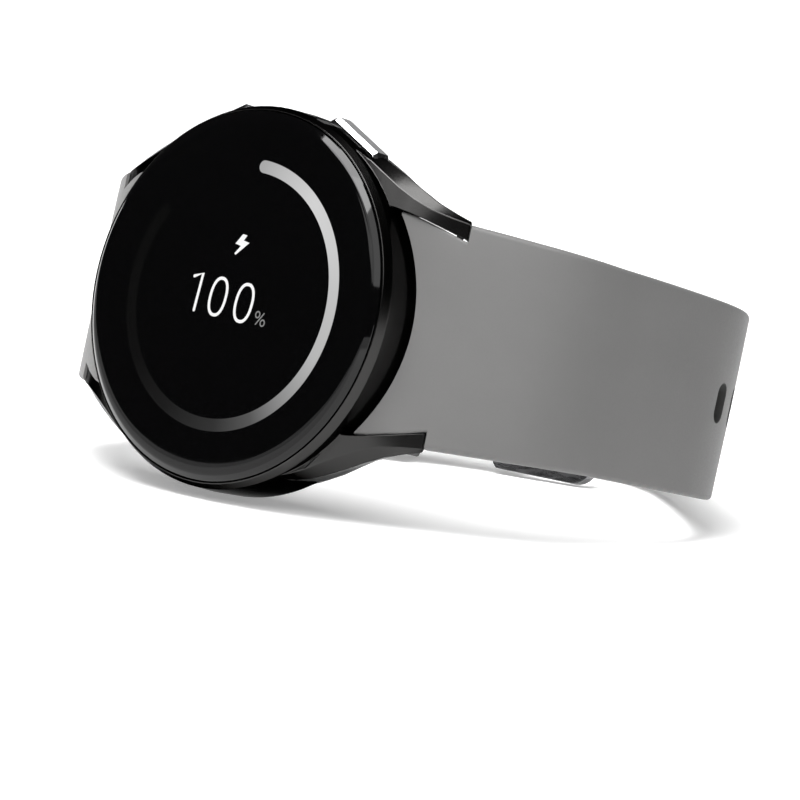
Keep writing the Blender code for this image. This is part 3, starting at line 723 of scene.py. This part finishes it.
def strap_section(arcs, at, side, width, depth, crown):
    """A rounded section; its outer face is barely crowned and its long edges are rolled."""
    out, height, heading = along_path(arcs, at)
    half = width / 2
    roll = 0.3 if at < SHOULDER else min(0.55, depth * 0.3)
    outline = []
    for x_side, z_side, start in ((1, 0, 90), (1, 1, 0), (-1, 1, -90), (-1, 0, 180)):
        for k in range(ROLL_STEPS + 1):
            angle = math.radians(start - 90 * k / ROLL_STEPS)
            x = x_side * (half - roll) + roll * math.cos(angle)
            z = (roll if z_side == 0 else depth - roll) - roll * math.sin(angle)
            outline.append((x, z))
    outline += [(share * (half - roll), 0.0) for share in (-0.75, -0.5, -0.25, 0.0, 0.25, 0.5, 0.75)]
    section = []
    for x, z in outline:
        z -= crown * max(0.0, 1 - (2 * x / width) ** 2) * (1 - z / depth)
        y = side * (out - z * math.sin(heading))
        section.append((x, y, height - z * math.cos(heading)))
    return section


def pill(half_long, half_wide, steps=8):
    """Points round a slot with round ends, long in X."""
    points = []
    for end in (1, -1):
        for k in range(steps + 1):
            angle = math.radians(-90 + 180 * k / steps)
            x = end * (half_long - half_wide + half_wide * math.cos(angle))
            points.append((x, end * half_wide * math.sin(angle)))
    return points


def strap_sections(arcs, side, tip):
    """The strap's sections from over the case, past the shoulder at the lug tips, to a rounded tip."""
    start = path_length(arcs) - tip
    sections = []
    for at in END_STATIONS:
        width = between(END_WIDTHS, at)
        sections.append(strap_section(arcs, at, side, width, between(STRAP_DEPTHS, at), 0.0))
    plain = int((start - SHOULDER) / STATION_GAP)
    for i in range(plain + 1):
        at = SHOULDER + (start - SHOULDER) * i / plain
        width = between(STRAP_WIDTHS, at)
        crown = CROWN * min(1.0, (at - SHOULDER) / 8)
        sections.append(strap_section(arcs, at, side, width, between(STRAP_DEPTHS, at), crown))
    full = between(STRAP_WIDTHS, start)
    for k in range(1, TIP_STEPS + 1):
        angle = math.radians(TIP_SWEEP * k / TIP_STEPS)
        at = start + tip * math.sin(angle)
        width = full * math.cos(angle) ** 0.6
        sections.append(strap_section(arcs, at, side, width, between(STRAP_DEPTHS, at), CROWN))
    return sections


def strap_half(name, node, body, arcs, side, tip, swing):
    """One half of the strap, with its end cut round to hug the case."""
    maker = bmesh.new()
    loft(maker, strap_sections(arcs, side, tip))
    made = new_object(name, maker, SILICONE, None)
    bar = Matrix.Translation((0, side * BAR_Y, BAR_Z))
    fit = bmesh.new()
    turn(fit, [(CASE_FIT, 0), (CASE_FIT, -12), (0, -12), (0, 0)], 192)
    cutters = [cut(made, fit, name + "_fit")]
    cutters.append(bore(made, bar, BAR_HOLE, name + "_bar"))
    lever = [bar @ Matrix.Rotation(math.radians(-side * BAR_TILT), 4, "X")]
    notch = [(LEVER_X + x, y) for x, y in pill(*LEVER_SLOT, 6)]
    cutters.append(punch(made, lever, notch, (0.0, -4.0), name + "_notch"))
    if side < 0:
        places = [path_axes(arcs, FIRST_SLOT + SLOT_SPACING * i, side) for i in range(SLOT_COUNT)]
        # The slot cutter gives the slot walls the much darker silicone, which is painted shade.
        cutters.append(punch(made, places, pill(*SLOT_HALVES), (-5.0, 2.0), name + "_slots", SLOT_WALL_PAINTED_SHADE))
    else:
        at = path_length(arcs) - BUCKLE_BAR_INSET
        middle = Matrix.Translation((0, 0, -between(STRAP_DEPTHS, at) / 2))
        axes = path_axes(arcs, at, side) @ middle
        cutters.append(bore(made, axes, BUCKLE_BAR_HOLE, name + "_buckle_bar"))
        cutters.append(punch(made, [axes], TANG_ROOM, (3.0, -3.0), name + "_tang_room"))
    settle(made, cutters, 34.0)
    if swing:
        pivot = WATCH @ Matrix.Translation(Vector((0, side * BAR_Y, BAR_Z)) * MM)
        made.data.transform(pivot @ Matrix.Rotation(math.radians(-swing), 4, "X") @ pivot.inverted())
    soften(made, 0.2, 3, 50.0)
    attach(made, body)
    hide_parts(node)


# ---------------------------------------------------------------- studio


def floor():
    """A pale floor that glows a little more with distance and turns up at its rim, so it has no horizon."""
    made, nodes, links, shader = shader_material("studio_floor", (0.86, 0.86, 0.86), 0.8)
    fleck = noise(nodes, links, 40.0, 2.0)
    paint = tint(nodes, links, fleck, (0.855, 0.855, 0.855), (0.865, 0.865, 0.865))
    links.new(paint, shader.inputs["Base Color"])
    place = nodes.new("ShaderNodeTexCoord")
    reach = nodes.new("ShaderNodeVectorMath")
    reach.operation = "LENGTH"
    links.new(place.outputs["Object"], reach.inputs[0])
    glow = spread(nodes, links, reach.outputs["Value"], 0.3, 1.0, 0.15, 1.2)
    links.new(glow, shader.inputs["Emission Strength"])
    shader.inputs["Emission Color"].default_value = (1.0, 1.0, 1.0, 1.0)
    shader.inputs["Specular IOR Level"].default_value = 0.1
    profile = [(0, -0.0001), (FLOOR_RADIUS, -0.0001)]
    for k in range(1, RIM_STEPS + 1):
        angle = math.radians(RIM_TURN * k / RIM_STEPS)
        radius = FLOOR_RADIUS + RIM_RADIUS * math.sin(angle)
        profile.append((radius, RIM_RADIUS - RIM_RADIUS * math.cos(angle)))
    profile += [(2.75, -0.01), (0, -0.01)]
    maker = bmesh.new()
    turn(maker, profile, 64)
    new_object("studio_floor", maker, made, None, 40.0, Matrix.Identity(4))


def softbox(name, place, aim, size, power):
    """A rectangular soft light at a place in the studio, turned to face its aim."""
    data = bpy.data.lights.new(name, "AREA")
    data.shape = "RECTANGLE"
    data.size, data.size_y = size
    data.energy = power
    made = bpy.data.objects.new(name, data)
    made.location = place
    made.rotation_mode = "QUATERNION"
    made.rotation_quaternion = (Vector(aim) - Vector(place)).to_track_quat("-Z", "Y")
    bpy.context.scene.collection.objects.link(made)


def world():
    """A nearly dark surround, so that black glass stays black."""
    made = bpy.data.worlds.new("studio")
    bpy.context.scene.world = made
    made.use_nodes = True
    back = made.node_tree.nodes["Background"]
    back.inputs["Color"].default_value = (0.9, 0.9, 0.92, 1.0)
    back.inputs["Strength"].default_value = 0.015


def camera():
    """The camera stands in front of the display, out beyond its 6 o'clock side."""
    right = Vector((0.2121, -0.7604, -0.6138))
    down = Vector((-0.9769, -0.1473, -0.1551))
    forward = Vector((0.0276, 0.6325, -0.7741))
    place = Vector((-18.96, -294.45, 330.5))
    facing = WATCH.to_3x3() @ Matrix((right, -down, -forward)).transposed()
    data = bpy.data.cameras.new("camera")
    data.sensor_width = 36.0
    data.lens = 197.84
    data.clip_start = 0.01
    data.clip_end = 20.0
    made = bpy.data.objects.new("camera", data)
    made.rotation_mode = "QUATERNION"
    made.rotation_quaternion = facing.to_quaternion()
    made.location = WATCH @ (place * MM)
    bpy.context.scene.collection.objects.link(made)
    bpy.context.scene.camera = made


# ---------------------------------------------------------------- the watch


glass()
charge_ring()
charge_figures()
case = refined("case_frame", CASE, 0.09, 3, sharp=19.0, weld=0.03, clamp=False, stays_crisp=near_recess)
# The case's second material, matt black seal rubber, paints shade into the button recesses.
case.data.materials.append(SEAL)
paint_recess_shade(case.data)
refined("home_button", BUTTON, 0.05, 2)
refined("back_button", BUTTON, 0.05, 2)
slot_path = STRAP_ARCS + TAIL_ARCS
buckle_path = STRAP_ARCS + BUCKLE_ARCS
strap_half("slot_strap_shown", "slot_band", "slot_half", slot_path, -1, 6.0, 0.0)
strap_half("buckle_strap_shown", "buckle_band", "buckle_half", buckle_path, 1, 1.6, BUCKLE_SWING)
refined("keeper", SILICONE, 0.35, 3)
refined("buckle_frame", STEEL, 0.3, 3)
refined("buckle_tang", STEEL, 0.15, 2)
refined("buckle_bar", STEEL, 0.1, 2)
refined("back_cover", BLACK, 0.08, 2)
refined("sensor_window", GLASS, sharp=40.0)
for number in range(1, 5):
    refined(f"back_screw_{number}", STEEL, 0.04, 2)
refined("electrode_upper", TRIM, 0.05, 2)
refined("electrode_lower", TRIM, 0.05, 2)
for label in ("slot", "buckle"):
    refined(label + "_bar_tube", STEEL)
    refined(label + "_fixed_pin", STEEL, 0.06, 2)
    refined(label + "_release_lever", STEEL, 0.08, 2)
repaint(SEAL, "front_seal", "back_seal", "home_button_seal", "back_button_seal")
repaint(BLACK, "inner_chassis", "display_panel", "display_flex", "home_switch_board", "back_switch_board")
repaint(BLACK, "speaker", "ferrite_sheet", "sensor_board")
repaint(BOARD, "main_board")
repaint(FOIL, "battery")
repaint(COPPER, "charging_coil")
repaint(STEEL, "home_switch", "back_switch", "processor_shield", "power_shield", "microphone")
repaint(STEEL, "vibration_motor", "led_cluster")
for number in range(1, 5):
    repaint(STEEL, f"photodiode_{number}")

floor()
world()
softbox("key_above", (0.0, -0.25, 0.98), (0, 0, 0), (0.6, 0.82), 18.0)
softbox("front_right", (0.5, -0.85, 1.0), (0, 0, 0.02), (1.2, 1.1), 11.0)
softbox("front_low", (-0.12, -1.05, 0.55), (0, 0, 0.02), (0.45, 0.25), 1.0)
softbox("behind", (-0.45, 1.1, 0.55), (0, 0, 0.02), (0.9, 0.45), 0.45)
camera()
bpy.context.scene.view_settings.view_transform = "Standard"
